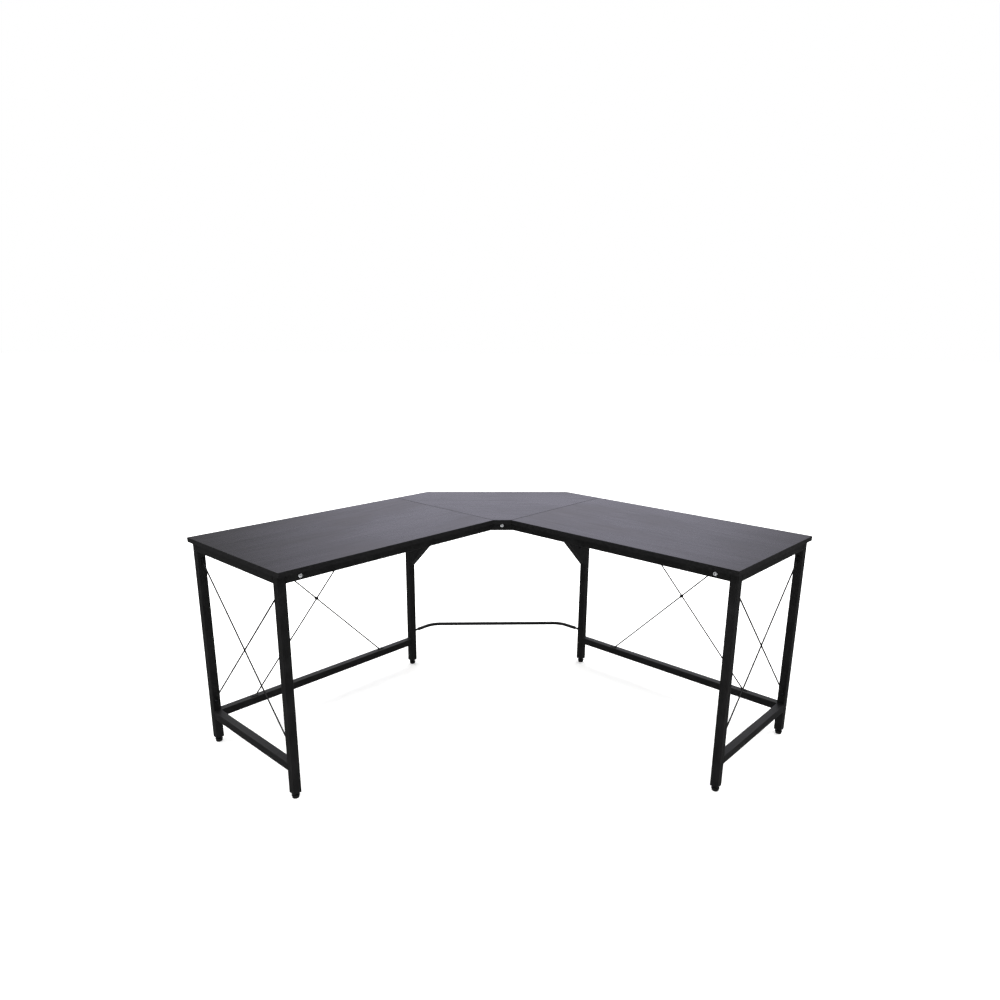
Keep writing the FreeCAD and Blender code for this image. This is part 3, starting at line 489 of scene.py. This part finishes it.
def threaded_rod(bm, low_mm, high_mm, diameter_mm, pitch_mm, steps=20):
    """Screw thread about local Z, closed at both ends."""
    crest, root = diameter_mm / 2, diameter_mm / 2 - 0.6 * pitch_mm
    turns = int((high_mm - low_mm) / pitch_mm) - 1
    # Each turn has a flat root, a flank up, a narrow crest and a flank down.
    tooth = ((root, 0), (root, 0.12), (crest, 0.5), (crest, 0.62))
    outline = [(r, low_mm + (i + z) * pitch_mm) for i in range(turns) for r, z in tooth]
    outline.append((root, low_mm + turns * pitch_mm))
    points = [bm.verts.new((r * MM, 0, z * MM)) for r, z in outline]
    edges = [bm.edges.new(pair) for pair in zip(points, points[1:])]
    bmesh.ops.spin(bm, geom=points + edges, cent=(0, 0, 0), axis=UP,
                   dvec=(0, 0, pitch_mm * MM / steps), angle=math.tau, steps=steps,
                   use_merge=False, use_duplicate=False)
    # A turn's end meets the next turn's start, so the two are merged.
    bmesh.ops.remove_doubles(bm, verts=bm.verts[:], dist=0.01 * MM)
    bmesh.ops.holes_fill(bm, edges=boundary(bm), sides=0)


def hex_collar(bm, low_mm, high_mm, flats_mm):
    """Hexagonal collar with bevelled edges; two of its corners lie along local X."""
    radius = flats_mm * MM / math.sqrt(3)
    place = Matrix.Translation((0, 0, (low_mm + high_mm) / 2 * MM)) @ Matrix.Rotation(
        math.radians(90), 4, "Z")
    made = bmesh.ops.create_cone(bm, cap_ends=True, segments=6, radius1=radius, radius2=radius,
                                 depth=(high_mm - low_mm) * MM, matrix=place)
    edges = list({e for v in made["verts"] for e in v.link_edges})
    bmesh.ops.bevel(bm, geom=edges, offset=0.45 * MM, affect="EDGES", segments=2, profile=0.5,
                    material=-1, offset_type="OFFSET", clamp_overlap=True)


def nylon_foot(bm):
    """Flared foot with a rounded shoulder and a blind socket for the screw."""
    sole = [(0, 0), (9.2, 0), (10.4, 0.35), (11, 1.1)]
    flare = [(11.2, 3), (11.6, 5.2), (12.4, 7.4), (12.85, 8.6)]
    shoulder = [(13, 9.6), (12.8, 10.6), (12.2, 11.3), (10.9, 11.6), (8.4, 11.7), (7.8, 12)]
    bore = [(4.9, 12), (4.35, 11.6), (4.3, 11), (4.3, 4.1), (0, 4.1)]
    turn_profile(bm, sole + flare + shoulder + bore, 48)


def levelling_foot(name):
    """Threaded screw with its collar, and the nylon foot that it turns in."""
    low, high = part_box("glide_stem_" + name)
    place = Matrix.Translation(((low.x + high.x) / 2, (low.y + high.y) / 2, 0))
    tip = low.z / MM + TIP_GAP

    def screw(bm):
        threaded_rod(bm, tip, high.z / MM, THREAD, PITCH)

    def collar(bm):
        hex_collar(bm, COLLAR_LOW, COLLAR_HIGH, COLLAR_FLATS)

    bm = bmesh.new()
    add_shape(bm, screw, place)
    add_shape(bm, collar, place)
    finish_piece(bm, "levelling_screw_" + name, "screw_" + name, BLACK_ZINC,
                 ["glide_stem_" + name], 30)
    bm = bmesh.new()
    add_shape(bm, nylon_foot, place)
    finish_piece(bm, "levelling_foot_" + name, "foot_" + name, PAD_NYLON,
                 ["glide_pad_" + name], 30)


for leg in LEG_NAMES:
    for side in SIDES:
        levelling_foot(leg + "_" + side)


# ---------------------------------------------------------------- weld beads

# Millimetres: a bead's radius, the length of one weld pool, how deep a flush bead sits, how far
# a bead stands off its seam and into the joint, and how far it stops short of the corners.
BEAD, POOL, SUNK = 2.4, 1.6, 1.8
STAND_OFF, LAP, CORNER_GAP = 0.3, 0.6, 2.2
# A bead's first and last pools are narrower than the rest.
BEAD_END, BEAD_NEXT = 0.45, 0.85


def weld_bead(bm, start, end, radius_mm):
    """Bead of overlapping weld pools from start to end, half sunk in the steel."""
    run = end - start
    steps = max(6, int(run.length / (POOL * MM)))
    made = bmesh.ops.create_circle(bm, segments=10, cap_ends=True,
                                   radius=BEAD_END * radius_mm * MM, matrix=facing(start, run))
    cap, width = list({f for v in made["verts"] for f in v.link_faces}), BEAD_END
    for step in range(1, steps + 1):
        ripple = 0.88 + 0.12 * abs(math.sin(step * math.pi / 2))
        taper = BEAD_NEXT if step in (1, steps - 1) else 1
        new_width = BEAD_END if step == steps else taper * ripple
        made = bmesh.ops.extrude_face_region(bm, geom=cap)["geom"]
        verts = [v for v in made if isinstance(v, bmesh.types.BMVert)]
        if step > 1:
            bmesh.ops.delete(bm, geom=cap, context="FACES_ONLY")
        centre = start + run * (step / steps)
        bmesh.ops.translate(bm, verts=verts, vec=run / steps)
        bmesh.ops.scale(bm, verts=verts, vec=[new_width / width] * 3,
                        space=Matrix.Translation(-centre))
        cap, width = [f for f in made if isinstance(f, bmesh.types.BMFace)], new_width


def seam_lines(low, high, axis, end, corners, flush):
    """Seams round a tube's end: sides in corners get a fillet, flush sides a low flat bead."""
    lines = []
    place = (high if end > 0 else low)[axis]
    for sides, lap, sink in ((corners, LAP, 0), (flush, 0, SUNK)):
        for outward_axis, way in sides:
            # The three axes' numbers add up to 3.
            along = 3 - axis - outward_axis
            point = Vector((0, 0, 0))
            point[axis] = place - end * lap * MM
            face = (high if way > 0 else low)[outward_axis]
            point[outward_axis] = face + way * (STAND_OFF - sink) * MM
            first, second = point.copy(), point.copy()
            first[along] = low[along] + CORNER_GAP * MM
            second[along] = high[along] - CORNER_GAP * MM
            lines.append((first, second))
    return lines


def weld_seams():
    """Beads round the welded tube ends, made on the right side and mirrored to the left."""
    flat_x, flat_y, flat_z = [((i, -1), (i, 1)) for i in (X, Y, Z)]
    joints = []
    for end in (-1, 1):
        joints.append(("rail_end_right", Y, end, [(Z, -1)], [*flat_x, (Z, 1)]))
        joints.append(("stretcher_end_right", Y, end, flat_z, flat_x))
    joints.append(("stretcher_rear_right", X, -1, flat_z, flat_y))
    joints.append(("rail_cross_right", Y, 1, flat_x, flat_z))
    joints.append(("leg_inner_right", Z, 1, flat_x, flat_y))
    bm = bmesh.new()
    for node, axis, end, corners, flush in joints:
        low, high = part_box(node)
        for first, second in seam_lines(low, high, axis, end, corners, flush):
            weld_bead(bm, first, second, BEAD)
    swap = Matrix(((0, -1, 0, 0), (-1, 0, 0, 0), (0, 0, 1, 0), (0, 0, 0, 1)))
    copied = bmesh.ops.duplicate(bm, geom=bm.verts[:] + bm.edges[:] + bm.faces[:])["geom"]
    verts = [v for v in copied if isinstance(v, bmesh.types.BMVert)]
    bmesh.ops.transform(bm, matrix=swap, verts=verts)
    finish_piece(bm, "weld_beads", "desk_frame", COAT)


weld_seams()


# ---------------------------------------------------------------- studio

# Strength of the tent's dim front, its roof and the wall behind the desk. The roof brightens
# between two heights of the light's direction, and the wall fades between two angles in degrees.
FRONT_LIGHT, ROOF_LIGHT, WALL_LIGHT = 0.16, 3.4, 0.76
ROOF_EDGE = (0.5, 0.9)
WALL_EDGE = (8, 26)
WALL_WAY = (-0.64, 0.768, 0.25)

# Camera's place and direction, its roll in degrees, and its lens and sensor in millimetres.
CAMERA_PLACE = (1.6291, -1.7968, 1.4052)
CAMERA_WAY = (-0.64956, 0.70946, -0.27337)
ROLL = -0.54
LENS, SENSOR = 26.68, 36
SHIFT_X, SHIFT_Y = -0.0017, 0.0477

FLOOR_RADIUS = 60


def studio_floor():
    """Wide pale floor."""
    material, tree = new_material("studio_floor_pale")
    tone = pattern(tree, 900, detail=2)
    colour = blend_colours(tree, tone, "#f4f4f3", "#f7f7f6")
    # A little light of its own keeps the floor pale in the desk's soft shadow.
    finish_surface(tree, colour, spread(tree, tone, 0.9, 0.95), tone, 0.1,
                   Specular_IOR_Level=0.1, Emission_Color=linear("#ffffff"),
                   Emission_Strength=0.4)
    bm = bmesh.new()
    bmesh.ops.create_circle(bm, cap_ends=True, segments=96, radius=FLOOR_RADIUS)
    mesh = bpy.data.meshes.new("studio_floor")
    bm.to_mesh(mesh)
    bm.free()
    mesh.materials.append(material)
    floor = bpy.data.objects.new("studio_floor", mesh)
    bpy.context.scene.collection.objects.link(floor)
    # Black tube would mirror the floor's glare, so the reflections see a dim room below instead.
    floor.visible_glossy = False


def studio_light():
    """White tent: soft light from overhead, a brighter wall behind the desk, a dimmer front."""
    world = bpy.data.worlds.new("studio_tent")
    world.use_nodes = True
    bpy.context.scene.world = world
    tree = world.node_tree
    tree.nodes.clear()
    direction = add_node(tree, "ShaderNodeTexCoord").outputs["Generated"]
    behind = Vector(WALL_WAY).normalized()
    wall = add_node(tree, "ShaderNodeVectorMath", {"operation": "DOT_PRODUCT"},
                    {1: behind}, {0: direction}).outputs["Value"]
    full, faded = [math.cos(math.radians(angle)) for angle in WALL_EDGE]
    wall = spread(tree, wall, 0.0, WALL_LIGHT, faded, full)
    height = add_node(tree, "ShaderNodeSeparateXYZ", {}, {}, {0: direction}).outputs["Z"]
    roof = spread(tree, height, FRONT_LIGHT, ROOF_LIGHT, *ROOF_EDGE)
    cool = add_node(tree, "ShaderNodeBackground", {}, {"Color": linear("#ebe8ff")},
                    {"Strength": wall})
    white = add_node(tree, "ShaderNodeBackground", {}, {"Color": linear("#ffffff")},
                     {"Strength": roof})
    tent = add_node(tree, "ShaderNodeAddShader", {}, {}, {0: cool.outputs[0],
                                                          1: white.outputs[0]})
    backdrop = add_node(tree, "ShaderNodeBackground", {}, {"Color": linear("#ffffff"),
                                                           "Strength": 1.0})
    seen = add_node(tree, "ShaderNodeLightPath").outputs["Is Camera Ray"]
    both = add_node(tree, "ShaderNodeMixShader", {}, {}, {0: seen, 1: tent.outputs[0],
                                                          2: backdrop.outputs[0]})
    add_node(tree, "ShaderNodeOutputWorld", {}, {}, {"Surface": both.outputs[0]})


def studio_camera():
    """Camera in front of the corner, a little above the boards, looking down at 16 degrees."""
    data = bpy.data.cameras.new("studio_camera")
    camera = bpy.data.objects.new("studio_camera", data)
    bpy.context.scene.collection.objects.link(camera)
    bpy.context.scene.camera = camera
    data.sensor_width = SENSOR
    data.lens = LENS
    data.shift_x = SHIFT_X
    data.shift_y = SHIFT_Y
    data.dof.use_dof = False
    ahead = Vector(CAMERA_WAY).normalized()
    side = ahead.cross(UP).normalized()
    above = side.cross(ahead)
    tilt = Matrix.Rotation(math.radians(ROLL), 3, ahead)
    right, top = tilt @ side, tilt @ above
    axes = Matrix((right, top, -ahead)).transposed()
    camera.matrix_world = Matrix.Translation(CAMERA_PLACE) @ axes.to_4x4()


studio_floor()
studio_light()
studio_camera()
bpy.context.scene.view_settings.view_transform = "Standard"
